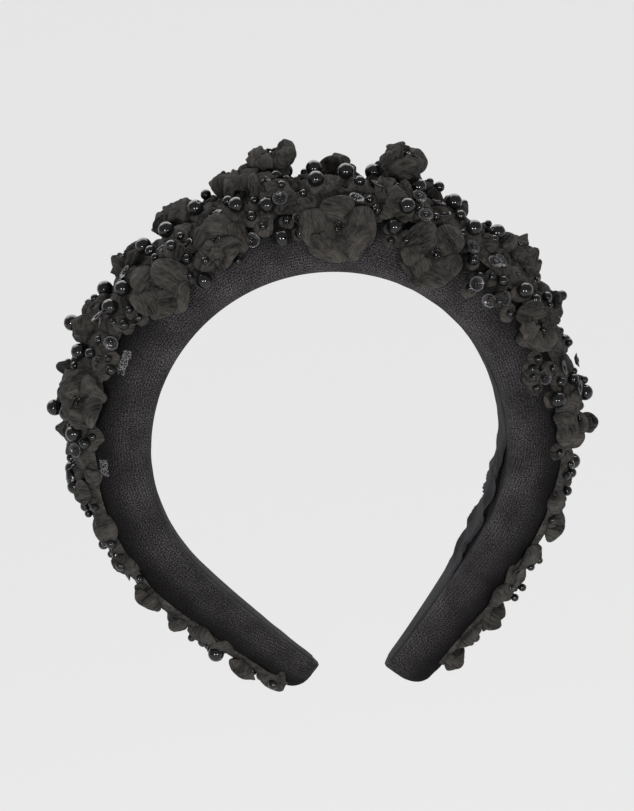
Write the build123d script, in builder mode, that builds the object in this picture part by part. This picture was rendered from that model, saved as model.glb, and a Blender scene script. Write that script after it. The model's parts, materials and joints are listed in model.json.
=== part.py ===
"""Padded velvet headband with a trim of crepe flowers, round beads and cup sequins.

The head opening is centred on the origin, the crown is at +Z and the front of the
band faces -Y.  "Station" is the distance in mm along the inner face from the crown,
negative towards -X.  "Turn" is the angle round the padded section, 0 on the outside,
-90 on the front wall and +90 on the back wall.
"""

from build123d import *
from math import atan2, cos, degrees, hypot, pi, radians, sin
import os
import random

# --- driving dimensions (mm) ---
HEAD_RADIUS = 65.0  # inner face of the lining over the crown
CROWN_SPAN = 128.0  # degrees of true circle each side of the crown
ARM_RADIUS = 554.0  # gentle curve of each arm below the circle
HALF_LENGTH = 202.0  # crown to tip along the inner face of the -X arm
RIGHT_EXTRA = 6.5  # how much further the +X arm runs

CROWN_HEIGHT = 28.5  # padding height over the crown
LEFT_HEIGHT_LOSS = 15.0  # the -X arm thins more than the +X arm
RIGHT_HEIGHT_LOSS = 11.5
CROWN_HALF_WIDTH = 20.5
TIP_WIDTH_LOSS = 12.5
BELLY = 0.42  # height of the widest point, share of the padding height
FOOT = 0.68  # width at the head, share of the widest width
SECTION_POWER = 2.4  # squareness of the padded section
TIP_ROUND = 6.0

LINING_THICKNESS = 0.8
LINING_SHARE = 0.62
COVER_THICKNESS = 0.8
CORE_THICKNESS = 1.6
CORE_SHARE = 0.52
BACKING_THICKNESS = 0.5
CROWN_RUFFLE = 4.5  # extra height of the folded backing along the top of the crown
RUFFLE_REACH = 120.0
BACKING_EDGE = 48.0  # turn of both long edges of the backing strip
LAYER_GAP = 0.05

PEARL_RADIUS = 3.0
BEAD_RADIUS = 2.0
SMALL_BEAD_RADIUS = 1.5
SEED_RADIUS = 1.0
SEQUIN_RADIUS = 2.8
SEQUIN_THICKNESS = 0.25
THREAD_HOLE = 0.4

CIRCLE_END = HEAD_RADIUS * radians(CROWN_SPAN)


# --- the path along the inner face and the padded section ---
def path_point(station, depth):
    """Position in XZ and the angle from the crown, a depth outside the inner face."""
    side = 1.0 if station >= 0 else -1.0
    reach = abs(station)
    if reach <= CIRCLE_END:
        angle = reach / HEAD_RADIUS
        x = (HEAD_RADIUS + depth) * sin(angle)
        z = (HEAD_RADIUS + depth) * cos(angle)
    else:
        turn = radians(CROWN_SPAN)
        angle = turn + (reach - CIRCLE_END) / ARM_RADIUS
        x = (HEAD_RADIUS - ARM_RADIUS) * sin(turn) + (ARM_RADIUS + depth) * sin(angle)
        z = (HEAD_RADIUS - ARM_RADIUS) * cos(turn) + (ARM_RADIUS + depth) * cos(angle)
    return side * x, z, side * angle


def tip_scale(station):
    """Share of the section left where the tips round off."""
    arm_length = HALF_LENGTH + (RIGHT_EXTRA if station > 0 else 0.0)
    into = abs(station) - (arm_length - TIP_ROUND)
    if into <= 0:
        return 1.0
    return max(0.35, (1.0 - (into / (TIP_ROUND * 1.06)) ** 2) ** 0.5)


def pad_height(station):
    """Padding height, less towards the tips."""
    loss = RIGHT_HEIGHT_LOSS if station > 0 else LEFT_HEIGHT_LOSS
    return CROWN_HEIGHT - loss * (abs(station) / 206.0) ** 1.9


def pad_half_width(station):
    """Half of the widest width, less towards the tips."""
    return CROWN_HALF_WIDTH - TIP_WIDTH_LOSS * (abs(station) / 206.0) ** 1.8


def section_plane(station):
    """Plane across the band: local X is the width, local Y points out of the head."""
    x, z, angle = path_point(station, 0.0)
    return Plane(origin=(x, 0, z), x_dir=(0, 1, 0), z_dir=(cos(angle), 0, -sin(angle)))


def pad_outline(station, grow, floor):
    """Points of the padded section from front foot over the top to back foot."""
    scale = tip_scale(station)
    belly = BELLY * pad_height(station)
    wide = pad_half_width(station) * scale + grow
    rise = (pad_height(station) - belly) * scale + grow
    foot = pad_half_width(station) * FOOT * scale + grow
    power = 2.0 / SECTION_POWER
    points = [(-foot, floor), (-(foot + 0.75 * (wide - foot)), 0.45 * belly)]
    for turn in (-90, -70, -50, -25, 0, 25, 50, 70, 90):
        across = abs(sin(radians(turn))) ** power * wide
        up = max(0.0, cos(radians(turn))) ** power * rise
        points.append((across if turn > 0 else -across, belly + up))
    points.append((foot + 0.75 * (wide - foot), 0.45 * belly))
    points.append((foot, floor))
    return points


def surface_plane(station, turn, lift):
    """Plane lying on the padded surface, its local Z straight out of the padding."""
    belly = BELLY * pad_height(station)
    wide = pad_half_width(station)
    rise = pad_height(station) - belly
    power = 2.0 / SECTION_POWER
    side = 1.0 if turn >= 0 else -1.0
    y = side * wide * abs(sin(radians(turn))) ** power
    up = rise * max(0.0, cos(radians(turn))) ** power
    slope_y = side * (abs(y) / wide) ** (SECTION_POWER - 1) / wide
    slope_up = (up / rise) ** (SECTION_POWER - 1) / rise
    length = hypot(slope_y, slope_up)
    slope_y /= length
    slope_up /= length
    depth = belly + up + slope_up * lift
    x, z, angle = path_point(station, depth)
    normal = (sin(angle) * slope_up, slope_y, cos(angle) * slope_up)
    along = (cos(angle), 0, -sin(angle))
    return Plane(origin=(x, y + slope_y * lift, z), x_dir=along, z_dir=normal)


def stations(reach, step):
    """Evenly spread stations with extra ones where the tips round off."""
    count = int(reach // step)
    inner = [step * k for k in range(-count, count + 1) if abs(step * k) < reach - 7.0]
    ends = [reach - 6.0, reach - 3.5, reach - 1.5, reach - 0.4]
    return [-e for e in reversed(ends)] + inner + [e + RIGHT_EXTRA for e in ends]


def head_space(depth):
    """The room inside the band out to a depth behind the inner face."""
    end = HALF_LENGTH + RIGHT_EXTRA + 2.0
    middle = (CIRCLE_END + end) / 2.0
    marks = (-end, -middle, -CIRCLE_END, 0.0, CIRCLE_END, middle, end)
    points = [path_point(mark, depth)[:2] for mark in marks]
    with BuildPart() as room:
        with BuildSketch(Plane.XZ):
            with BuildLine():
                ThreePointArc(points[0], points[1], points[2])
                ThreePointArc(points[2], points[3], points[4])
                ThreePointArc(points[4], points[5], points[6])
                Line(points[6], points[0])
            make_face()
        extrude(amount=40.0, both=True)
    return room.part


def pad_body(grow, reach, step=13.0):
    """Padded body lofted through its sections, before the head space is cut away."""
    with BuildPart() as body:
        for station in stations(reach, step):
            with BuildSketch(section_plane(station)):
                with BuildLine():
                    outline = pad_outline(station, grow, -2.0)
                    Spline(outline)
                    Line(outline[-1], outline[0])
                make_face()
        loft()
    return body.part


def ribbon(low, high, share, margin, reach):
    """Flat strip that follows the inner face and narrows towards the tips."""
    with BuildPart() as strip:
        for station in stations(reach, 13.0):
            with BuildSketch(section_plane(station)):
                with Locations((0, (low + high) / 2.0)):
                    Rectangle(2.0 * (share * pad_half_width(station) + margin), high - low)
        loft()
    return strip.part


# --- head side: lining ribbon, then the spring core ---
with BuildPart() as inner_lining:
    add(ribbon(-1.0, LINING_THICKNESS, LINING_SHARE, 0.0, HALF_LENGTH - 3.0))
    add(head_space(0.0), mode=Mode.SUBTRACT)

core_low = LINING_THICKNESS + COVER_THICKNESS + 3 * LAYER_GAP
core_high = core_low + CORE_THICKNESS
with BuildPart() as core_band:
    add(ribbon(core_low, core_high, CORE_SHARE, 0.0, HALF_LENGTH - 6.0))

# --- velvet cover, turned under at the head side, and the foam inside it ---
with BuildPart() as velvet_cover:
    add(pad_body(0.0, HALF_LENGTH))
    add(head_space(LINING_THICKNESS + 2 * LAYER_GAP), mode=Mode.SUBTRACT)
    with BuildPart(mode=Mode.PRIVATE) as hollow:
        add(pad_body(-COVER_THICKNESS, HALF_LENGTH - COVER_THICKNESS))
        add(head_space(core_low - LAYER_GAP), mode=Mode.SUBTRACT)
    add(hollow.part, mode=Mode.SUBTRACT)
    add(velvet_cover.solids().sort_by(SortBy.VOLUME)[-1], mode=Mode.REPLACE)

with BuildPart() as foam_pad:
    add(pad_body(-COVER_THICKNESS - 3 * LAYER_GAP, HALF_LENGTH - COVER_THICKNESS - 0.5))
    add(head_space(core_low), mode=Mode.SUBTRACT)
    with BuildPart(mode=Mode.PRIVATE) as core_slot:
        add(ribbon(core_low - 1.0, core_high + LAYER_GAP, CORE_SHARE, LAYER_GAP, HALF_LENGTH - 5.9))
    add(core_slot.part, mode=Mode.SUBTRACT)


# --- crepe backing strip that most of the trim is sewn to ---
def backing_height(station, turn):
    """The backing is flat cloth at its edges and gathered into a ruffle along the crown."""
    along = max(0.0, 1.0 - (station / RUFFLE_REACH) ** 2)
    across = max(0.0, cos(radians(1.5 * turn)))
    return BACKING_THICKNESS + CROWN_RUFFLE * along * across


def skin_strip(marks, turn_from, turn_to, low_lift, high_lift, ruffled=False):
    """Sheet lying on the padding between two stations and two turns."""
    with BuildPart() as strip:
        for mark in marks:
            low = []
            high = []
            x, z, angle = path_point(mark, 0.0)
            for step in range(7):
                turn = turn_from + (turn_to - turn_from) * step / 6.0
                rise = backing_height(mark, turn) if ruffled else 0.0
                for points, lift in ((low, low_lift), (high, high_lift + rise)):
                    spot = surface_plane(mark, turn, lift).origin
                    points.append((spot.Y, (spot.X - x) * sin(angle) + (spot.Z - z) * cos(angle)))
            with BuildSketch(section_plane(mark)):
                with BuildLine():
                    Spline(high)
                    Line(high[-1], low[-1])
                    Spline(low)
                    Line(low[0], high[0])
                make_face()
        loft()
    return strip.part


with BuildPart() as trim_backing:
    backing_marks = [-196 + 14.5 * k for k in range(28)]
    add(skin_strip(backing_marks, -BACKING_EDGE, BACKING_EDGE, -1.2, LAYER_GAP, ruffled=True))
    add(pad_body(LAYER_GAP, HALF_LENGTH), mode=Mode.SUBTRACT)

with BuildPart() as tulle_patch_side:
    add(skin_strip((-73, -69, -65, -61), -84, -56, 0.15, 0.45))

with BuildPart() as tulle_patch_arm:
    add(skin_strip((-102, -99, -96, -93), -72, -53, 0.15, 0.45))


def trim_lift(station, turn):
    """Trims rest just clear of the backing, with a little more room on its sloping sides."""
    slope_room = 0.5 * min(1.0, abs(turn) / 25.0) * (backing_height(station, turn) > 1.0)
    return 2 * LAYER_GAP + backing_height(station, turn) + 0.1 + slope_room


# --- room kept by every trim: a flat disc rounded all round its rim ---
taken = []


def keeps_clear(place, core, rounding, margin=0.12):
    """True when a rounded disc at this plane stays clear of all earlier trims."""
    spots = [place.origin]
    if core > 0:
        rim = [2 * pi * k / 12 for k in range(12)]
        spots += [place.from_local_coords((core * cos(a), core * sin(a), 0)) for a in rim]
    for spot in spots:
        for centre, normal, other_core, other_round in taken:
            dx, dy, dz = spot.X - centre[0], spot.Y - centre[1], spot.Z - centre[2]
            away = dx * normal[0] + dy * normal[1] + dz * normal[2]
            across = max(dx * dx + dy * dy + dz * dz - away * away, 0.0) ** 0.5
            if hypot(max(across - other_core, 0.0), away) < other_round + rounding + margin:
                return False
    return True


def take_room(place, core, rounding):
    """Keeps the room of a rounded disc for the trim just placed."""
    origin, normal = place.origin, place.z_dir
    taken.append(((origin.X, origin.Y, origin.Z), (normal.X, normal.Y, normal.Z), core, rounding))


def settle(station, turn, core, rounding, extra=0.0, highest=11.0):
    """Lowest plane above the padding where a rounded disc clears the earlier trims."""
    if abs(station) > RUFFLE_REACH:
        highest = 1.5
    lift = trim_lift(station, turn) + rounding + extra
    while lift < trim_lift(station, turn) + rounding + extra + highest:
        place = surface_plane(station, turn, lift)
        if keeps_clear(place, core, rounding):
            take_room(place, core, rounding)
            return place
        lift += 0.35
    return None


# --- crepe flowers: five gathered lobes each, sewn down through the centre ---
def lobe_places(place, ring, count, spin):
    """Planes of the lobes, evenly spread on a ring round the middle."""
    places = []
    for k in range(count):
        angle = spin + 2 * pi * k / count
        centre = place.from_local_coords((ring * cos(angle), ring * sin(angle), 0))
        places.append(place.shift_origin(centre))
    return places


def sew_flower(station, turn, ring, lobe, thick, spin, extra=0.0, count=5):
    """Gathered flower settled on the band, returned with the plane of its centre."""
    lift = trim_lift(station, turn) + thick / 2.0 + extra
    rounding = 0.47 * thick
    spin = radians(spin)
    while True:
        place = surface_plane(station, turn, lift)
        lobes = lobe_places(place, ring, count, spin)
        if all(keeps_clear(spot, lobe - rounding, rounding) for spot in lobes + [place]):
            break
        lift += 0.35
    for spot in lobes + [place]:
        take_room(spot, lobe - rounding, rounding)
    with BuildPart(mode=Mode.PRIVATE) as pad:
        Cylinder(lobe, thick)
        fillet(pad.edges().filter_by(GeomType.CIRCLE), rounding)
    with BuildPart() as flower:
        with Locations(*[spot.location for spot in lobes]):
            add(pad.part)
        with Locations(place.location):
            Cylinder(ring, 0.5 * thick)
    return flower.part, place


# station, turn, ring radius, lobe radius, thickness, spin, extra lift
flower_list = (
    (-43, -61, 5.4, 4.7, 4.8, 18, 0),
    (-23, -58, 4.9, 4.2, 4.6, 50, 0),
    (10, -74, 6.4, 5.4, 5.4, 90, 0),
    (39, -77, 6.4, 5.4, 5.4, 70, 0),
    (-78.5, -38, 5.0, 4.4, 4.6, 30, 0),
    (76.5, -58, 4.7, 4.2, 4.6, 12, 0),
    (104, -44, 5.0, 4.4, 4.6, 54, 0),
    (-12, 10, 5.4, 4.6, 5.2, 20, 1.0),
    (-44, 10, 4.2, 3.7, 4.6, 0, 0),
    (-6, -22, 3.6, 3.2, 4.4, 36, 0),
    (24, -30, 3.9, 3.4, 4.4, 10, 0),
    (-78, 10, 4.2, 3.7, 4.6, 40, 0),
    (-62, 4, 4.6, 4.0, 4.8, 15, 0),
    (60, 2, 5.2, 4.0, 5.2, 0, 0),
    (27, 16, 4.8, 4.2, 5.2, 45, 1.5),
    (-92, 44, 4.4, 3.9, 4.4, 0, 0),
    (-58, 58, 4.9, 4.2, 4.6, 33, 0),
    (-24, 56, 4.7, 4.1, 4.6, 15, 0),
    (5, 66, 5.2, 4.5, 4.8, 48, 0),
    (32, 70, 4.8, 4.2, 4.6, 5, 0),
    (56, 56, 4.6, 4.0, 4.6, 30, 0),
    (82, 60, 4.6, 4.0, 4.6, 62, 0),
    (108, 40, 4.6, 4.0, 4.4, 20, 0),
    (-29, 20, 4.8, 4.2, 4.6, 8, 0),
    (12, 40, 5.0, 4.3, 4.6, 26, 0),
    (76, 26, 4.6, 4.0, 4.6, 44, 0),
    (-3, 12, 4.6, 4.0, 4.8, 10, 0),
    (26, 4, 4.4, 3.8, 4.8, 45, 0),
)
trims = {}
flower_centres = []
for number, flower_sizes in enumerate(flower_list, 1):
    trims[f"crepe_flower_{number:02d}"], centre = sew_flower(*flower_sizes)
    flower_centres.append((centre, flower_sizes[4]))


# --- single gathered crepe puffs between the flowers and along the arms ---
def sew_puff(station, turn, length, width, thick, swing, extra=0.0):
    """Small pillow of folded crepe, longer one way, settled on the band."""
    rounding = 0.47 * thick
    core = width / 2.0 - rounding
    reach = (length - width) / 2.0
    lift = trim_lift(station, turn) + thick / 2.0 + extra
    while True:
        place = surface_plane(station, turn, lift).rotated((0, 0, swing))
        spots = [place.shift_origin(place.from_local_coords((k * reach, 0, 0))) for k in (-1, 0, 1)]
        if all(keeps_clear(spot, core, rounding) for spot in spots):
            break
        lift += 0.35
    for spot in spots:
        take_room(spot, core, rounding)
    with BuildPart(mode=Mode.PRIVATE) as pillow:
        with BuildSketch(Plane.XY.offset(-thick / 2.0)):
            SlotOverall(length, width)
        extrude(amount=thick)
        fillet(pillow.faces().filter_by(Axis.Z).edges(), rounding)
    with BuildPart() as puff:
        with Locations(place.location):
            add(pillow.part)
    return puff.part


# station, turn, length, width, thickness, swing, extra lift
puff_list = (
    (-104, -24, 13, 8.5, 4.4, 0, 0),
    (-138, -30, 17, 8, 4.2, 0, 0),
    (-151, -26, 8.5, 7, 4.0, 15, 0),
    (-151, 12, 11, 8, 4.2, -10, 0),
    (-180, -22, 16, 8.5, 4.4, 0, 0),
    (134.5, -16, 18, 8, 4.8, 0, 0),
    (171, -16, 17, 8.5, 5.0, 0, 0),
    (191.5, -14, 14, 9, 5.0, 0, 0),
    (124, 24, 11, 9, 5.0, 30, 0),
    (155, 22, 13, 8, 5.0, -10, 0),
    (-168, 20, 13, 8, 4.2, 10, 0),
    (107, -8, 10, 8, 5.0, 40, 3.0),
)
for number, puff_sizes in enumerate(puff_list, 1):
    trims[f"crepe_puff_{number:02d}"] = sew_puff(*puff_sizes)

# --- beads and sequins threaded on by hand: station, turn, extra lift ---
pearl_list = (
    (-31.5, -83, 0), (-14.5, -34, 0), (-13.5, -8, 0), (-32, -14, 0), (-23.5, -10, 0), (-7.5, -44, 0),
    (-6, -78, 0), (5.5, -24, 0), (13, -8, 0), (20, 4, 0), (2, 8, 2), (6, 4, 0), (26, -66, 0),
    (30.5, -10, 0), (27.5, -50, 0), (40, -6, 0), (46, -33, 0), (-84, 6, 3), (-88, -30, 0),
    (-84, -8, 0), (-54.5, -30, 0), (-49, -30, 0), (-64, 14, 1), (-53, 12, 0), (66, -47, 0),
    (97, -66, 0), (99, -12, 1.5), (165.5, -15, 3), (-189, -38, 0), (-168.5, -27, 0), (-100, 20, 0),
    (-80, 34, 0), (-54, 32, 0), (-31, 36, 0), (-8, 44, 0), (18, 42, 0), (43, 46, 0), (70, 34, 0),
    (95, 32, 0), (118, 8, 0), (-32, 70, 0), (20, 76, 0), (70, 74, 0), (-80, 68, 0), (133, 30, 0),
)
bead_list = (
    (-0.5, -77, 0), (20.5, -52, 0), (-32, -55, 0), (-34.5, -40, 0), (-3, 10, 5), (-68.5, -60, 0),
    (54, -86, 0), (54, -72, 0), (50, -60, 0), (72.5, -16, 0), (86, -82, 0), (93, -52, 0),
    (120, -12, 0), (125, -12, 0), (184, -16, 0), (-189, 14, 0), (-162, -28, 0), (-120.5, 0, 0),
    (-119, -42, 0), (-20, 20, 2), (36, 4, 3), (76, 8, 3), (-70, 26, 0), (-45, 34, 0), (10, 40, 2),
    (62, 30, 0), (86, 20, 0), (103, 16, 0), (-96, 0, 0), (-110, 12, 0), (130, 6, 0), (147, 8, 0),
    (168, 12, 0), (52, -6, 0), (-56, 62, 0), (-6, 72, 0), (44, 72, 0), (95, 52, 0), (-104, 34, 0),
    (-126, -34, 0), (-141, 8, 0), (-153, -22, 0), (-172, -32, 0), (-185, 10, 0), (-192, -34, 0),
    (136, 18, 0), (145, -6, 0), (157, 6, 0), (166, 6, 0), (181, -14, 0), (186, -28, 0), (195, -10, 0),
    (-12, -48, 0), (-33, -42, 0), (24, -46, 0), (31, -38, 0), (-56, -52, 0), (-67, -30, 0), (-90, -44, 0),
    (70, -40, 0), (60, -56, 0), (94, -30, 0), (-16, -22, 0), (-38, -20, 0), (16, -22, 0), (42, -24, 0),
)
small_bead_list = (
    (-15.5, 16, 0), (-3, -34, 0), (2, -36, 0), (-3.5, -60, 0), (-1.5, 14, 1), (4, 14, 0), (15, 8, 1),
    (34, 12, 0), (18.5, -42, 0), (36, 10, 0), (39.5, 10, 1), (43, 10, 0), (-82, 8, 0), (-89, 8, 0),
    (-99, 4, 0), (-92.5, 6, 0), (-73, 12, 2), (-66, 14, 2), (-69, 8, 0), (-58, 14, 0), (-56, 6, 0),
    (-63, -32, 0), (57, -60, 0), (52.5, -20, 0), (58, 6, 0), (62.5, 6, 0), (66, 5, 0), (69, 4, 0),
    (75.5, 0, 0), (80, 0, 0), (86, -6, 1), (88.5, -58, 0), (84, -72, 0), (88, -86, 0), (92, -84, 0),
    (96, -10, 3), (131, -12, 0), (145, -18, 2), (156.5, -16, 3), (161, -16, 3), (182, 20, 0),
    (-167, -9, 1), (-159, -8, 0), (-143, -8, 0), (-131.5, -50, 0), (-134, -24, 0), (-124, 2, 0),
    (-116.5, 0, 0), (-113, -34, 0), (-28, -70, 0), (26, -80, 0), (-52, -62, 0), (63, -76, 0),
    (-20, -84, 0), (113, -60, 0), (117, -30, 0), (-108, -38, 0), (-111, -4, 0), (-119, -22, 0),
    (-128, -4, 0), (-136, -18, 0), (-142, -30, 0), (-147, 12, 0), (-155, -36, 0), (-158, 8, 0),
    (-164, -38, 0), (-170, -8, 0), (-173, 14, 0), (-186, -22, 0), (-190, 0, 0), (-193, -14, 0),
    (-196, 4, 0), (120, -36, 0), (127, -22, 0), (133, -36, 0), (142, -34, 0), (148, -32, 0),
    (150, 4, 0), (158, -38, 0), (164, -34, 0), (169, -30, 0), (172, 26, 0), (180, -32, 0),
    (184, 2, 0), (188, -34, 0), (194, -24, 0), (197, 2, 0), (-24, -78, 0), (-10, -62, 0),
    (-34, -70, 0), (30, -76, 0), (-52, -48, 0), (-57, -40, 0), (-66, -52, 0), (68, -74, 0),
    (-30, -30, 0), (-38, -34, 0), (44, -42, 0), (36, -40, 0), (-10, -32, 0), (-88, -52, 0),
)
sequin_list = (
    (0, -60, 0), (-4, -45, 0), (15, -46, 0), (30.5, -32, 0), (33, -48, 0), (36.5, -12, 0), (-71.5, 12, 2),
    (-68.5, -40, 0), (-62, -46, 0), (-59, -18, 0), (-94, -18, 0), (-48, -8, 0), (54, -80, 0), (61, -82, 0),
    (64, -66, 0), (62, -34, 0), (56.5, -38, 0), (55, -50, 0), (90, -38, 0), (90, -70, 0), (96, -68, 0),
    (96, -36, 0), (91, -5, 3), (116, -11, 0), (152, -40, 0), (159, -20, 0), (-156.5, -23, 0),
    (-114.5, -12, 0), (-100, -10, 0), (-86, 26, 0), (-60, 34, 0), (-28, 10, 0), (8, 2, 0), (52, 8, 0),
    (74, 20, 0), (100, 4, 0), (-30, 50, 0), (22, 58, 0), (70, 50, 0), (-78, 48, 0), (-52, 46, 0),
    (46, 56, 0), (128, -30, 0), (142, 12, 0), (176, 10, 0), (112, 22, 0),
    (147, -28, 0), (163, -8, 0), (183, 14, 0), (170, -34, 0), (-146, -24, 0), (-160, -4, 0),
    (-176, -34, 0), (-184, -26, 0), (-130, -14, 0), (-122, -16, 0), (-9, -56, 0), (-30, -40, 0),
    (-14, -70, 0), (25, -58, 0), (28, -70, 0), (-53, -56, 0), (-58, -30, 0), (-72, -48, 0), (66, -52, 0),
    (48, -48, 0), (-36, -28, 0), (38, -30, 0), (-20, -26, 0), (-92, -34, 0), (20, -34, 0),
)


def settle_all(spots, core, rounding, highest=5.0):
    """Settles every spot of a list and leaves out those that find no room low enough."""
    places = [settle(*spot[:2], core, rounding, spot[2], highest) for spot in spots]
    return [place for place in places if place]


# fill towards the top and the back of the crown, where the rows run on
random.seed(11)
fill = [(random.uniform(-104, 122), random.uniform(-12, 74), 0) for _ in range(150)]

centre_beads = []
for centre, thick in flower_centres:
    for k in range(3):
        angle = 2 * pi * k / 3 + 0.4
        place = centre.offset(thick / 2.0 + SEED_RADIUS + 0.15)
        place = place.shift_origin(place.from_local_coords((1.35 * cos(angle), 1.35 * sin(angle), 0)))
        take_room(place, 0.0, SEED_RADIUS)
        centre_beads.append(place)

pearls = settle_all(pearl_list, 0.0, PEARL_RADIUS) + settle_all(fill[:40], 0.0, PEARL_RADIUS, 2.5)
beads = settle_all(bead_list, 0.0, BEAD_RADIUS) + settle_all(fill[40:76], 0.0, BEAD_RADIUS, 2.5)
cup_core = SEQUIN_RADIUS - 0.45
sequins = settle_all(sequin_list, cup_core, 0.55) + settle_all(fill[76:110], cup_core, 0.55, 3.0)
small_beads = settle_all(small_bead_list, 0.0, SMALL_BEAD_RADIUS)
small_beads += settle_all(fill[110:], 0.0, SMALL_BEAD_RADIUS, 3.0)


def string_beads(places, radius):
    """Round beads with the thread hole along the band."""
    hole_end = (radius**2 - THREAD_HOLE**2) ** 0.5
    with BuildPart(mode=Mode.PRIVATE) as bead:
        with BuildSketch(Plane.XZ):
            with BuildLine():
                ThreePointArc((THREAD_HOLE, -hole_end), (radius, 0), (THREAD_HOLE, hole_end))
                Line((THREAD_HOLE, hole_end), (THREAD_HOLE, -hole_end))
            make_face()
        revolve(axis=Axis.Z)
    with BuildPart() as group:
        with Locations(*[place.location * Rot(0, 90, 0) for place in places]):
            add(bead.part)
    return group.part


def by_side(places, low, high):
    """Places between two angles round the head, 0 at the crown."""
    return [place for place in places if low <= degrees(atan2(place.origin.X, place.origin.Z)) < high]


# one node per stretch: -X side, crown, +X side
for side, low, high in (("left", -180, -32), ("crown", -32, 32), ("right", 32, 180)):
    trims[f"large_beads_{side}"] = string_beads(by_side(pearls, low, high), PEARL_RADIUS)
    trims[f"medium_beads_{side}"] = string_beads(by_side(beads, low, high), BEAD_RADIUS)
    trims[f"small_beads_{side}"] = string_beads(by_side(small_beads, low, high), SMALL_BEAD_RADIUS)

# --- seed beads: three in the middle of each flower, one holding each sequin ---
with BuildPart() as seed_beads:
    with Locations(*[place.location for place in centre_beads]):
        Torus(SEED_RADIUS - 0.42, 0.4)

# --- cup sequins: thin dished discs with a hole in the middle ---
with BuildPart() as cup:
    with BuildSketch(Plane.XZ):
        with BuildLine():
            rim_in = (SEQUIN_RADIUS - 0.1, 0.45)
            rim_out = (SEQUIN_RADIUS, 0.45 - SEQUIN_THICKNESS)
            floor_out = (1.4, -0.25 - SEQUIN_THICKNESS)
            hole_out = (0.35, -0.25 - SEQUIN_THICKNESS)
            Line((0.35, -0.45), (1.3, -0.45))
            Line((1.3, -0.45), rim_in)
            Line(rim_in, rim_out)
            Line(rim_out, floor_out)
            Line(floor_out, hole_out)
            Line(hole_out, (0.35, -0.45))
        make_face()
    revolve(axis=Axis.Z)

for side, low, high in (("left", -180, -32), ("crown", -32, 32), ("right", 32, 180)):
    with BuildPart() as cups:
        with Locations(*[place.location for place in by_side(sequins, low, high)]):
            add(cup.part)
    trims[f"cup_sequins_{side}"] = cups.part

# --- write every piece ---
trims["seed_beads"] = seed_beads.part
trims["core_band"] = core_band.part
trims["foam_pad"] = foam_pad.part
trims["velvet_cover"] = velvet_cover.part
trims["inner_lining"] = inner_lining.part
trims["trim_backing"] = trim_backing.part
trims["tulle_patch_side"] = tulle_patch_side.part
trims["tulle_patch_arm"] = tulle_patch_arm.part

os.makedirs("parts", exist_ok=True)
for name, piece in trims.items():
    piece.label = name
    export_step(piece, f"parts/{name}.step")
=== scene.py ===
"""Padded velvet headband with a sewn trim of crepe flowers, beads and cup sequins.

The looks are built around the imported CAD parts, in metres: the head opening is centred
on the origin, the crown is at +Z and the front faces -Y.
"""

import json

import bpy
import numpy as np
from mathutils import Matrix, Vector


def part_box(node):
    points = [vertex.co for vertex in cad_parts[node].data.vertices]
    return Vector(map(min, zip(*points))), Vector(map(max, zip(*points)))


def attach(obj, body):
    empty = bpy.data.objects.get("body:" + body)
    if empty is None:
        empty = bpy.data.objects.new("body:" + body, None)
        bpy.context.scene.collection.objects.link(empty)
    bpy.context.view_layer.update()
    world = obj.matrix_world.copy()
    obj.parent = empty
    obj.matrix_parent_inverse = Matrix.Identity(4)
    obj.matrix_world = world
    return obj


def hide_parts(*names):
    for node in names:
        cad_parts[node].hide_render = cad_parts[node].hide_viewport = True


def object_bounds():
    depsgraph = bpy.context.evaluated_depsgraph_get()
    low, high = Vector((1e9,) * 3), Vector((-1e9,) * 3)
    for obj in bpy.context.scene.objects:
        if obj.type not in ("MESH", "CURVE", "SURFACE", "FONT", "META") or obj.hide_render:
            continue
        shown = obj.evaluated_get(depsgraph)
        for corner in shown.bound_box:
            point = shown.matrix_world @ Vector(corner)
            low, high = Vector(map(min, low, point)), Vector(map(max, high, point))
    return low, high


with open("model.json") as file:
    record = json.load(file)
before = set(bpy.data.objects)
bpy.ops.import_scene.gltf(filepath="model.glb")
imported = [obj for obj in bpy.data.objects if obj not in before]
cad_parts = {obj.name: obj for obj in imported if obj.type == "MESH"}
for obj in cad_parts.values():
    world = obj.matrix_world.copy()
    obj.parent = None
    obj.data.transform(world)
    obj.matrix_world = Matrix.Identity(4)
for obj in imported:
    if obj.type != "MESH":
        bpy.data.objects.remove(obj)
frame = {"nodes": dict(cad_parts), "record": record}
cad_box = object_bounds()
cad_nodes = frame["nodes"]
chance = np.random.default_rng(7)


# ---------------------------------------------------------------------------
# Velvet cover: one length of ribbed velvet pulled over a foam roll and turned
# under at the head side, where the lining hides its raw edges.
# ---------------------------------------------------------------------------
head_mount = next(m for m in frame["record"]["mounts"] if m["name"] == "head_clamp")
head_radius = head_mount["dims"]["r_mm"] / 1000.0
cover_low, cover_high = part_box("velvet_cover")
crown_height = cover_high[2] - head_radius
crown_half_width = (cover_high[1] - cover_low[1]) / 2.0
circle_span = np.radians(128.0)
arm_radius = 0.554
half_length = 0.202
right_extra = 0.0065
circle_end = head_radius * circle_span
tip_round = 0.006
left_height_loss = 0.015
right_height_loss = 0.0115
width_loss = 0.0125
full_loss_station = 0.206
belly_share = 0.42
foot_share = 0.68
section_power = 2.4


def path_point(station, depth):
    """A circle round the head to the end of the crown span, then a wide arc along each arm."""
    side = np.where(station >= 0, 1.0, -1.0)
    reach = np.abs(station)
    on_circle = np.minimum(reach, circle_end) / head_radius
    on_arm = circle_span + np.maximum(reach - circle_end, 0.0) / arm_radius
    offset = head_radius - arm_radius
    past = reach > circle_end
    angle = np.where(past, on_arm, on_circle)
    x = np.where(past, offset * np.sin(circle_span), 0.0)
    z = np.where(past, offset * np.cos(circle_span), 0.0)
    radius = np.where(past, arm_radius, head_radius) + depth
    return side * (x + radius * np.sin(angle)), z + radius * np.cos(angle), side * angle


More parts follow.
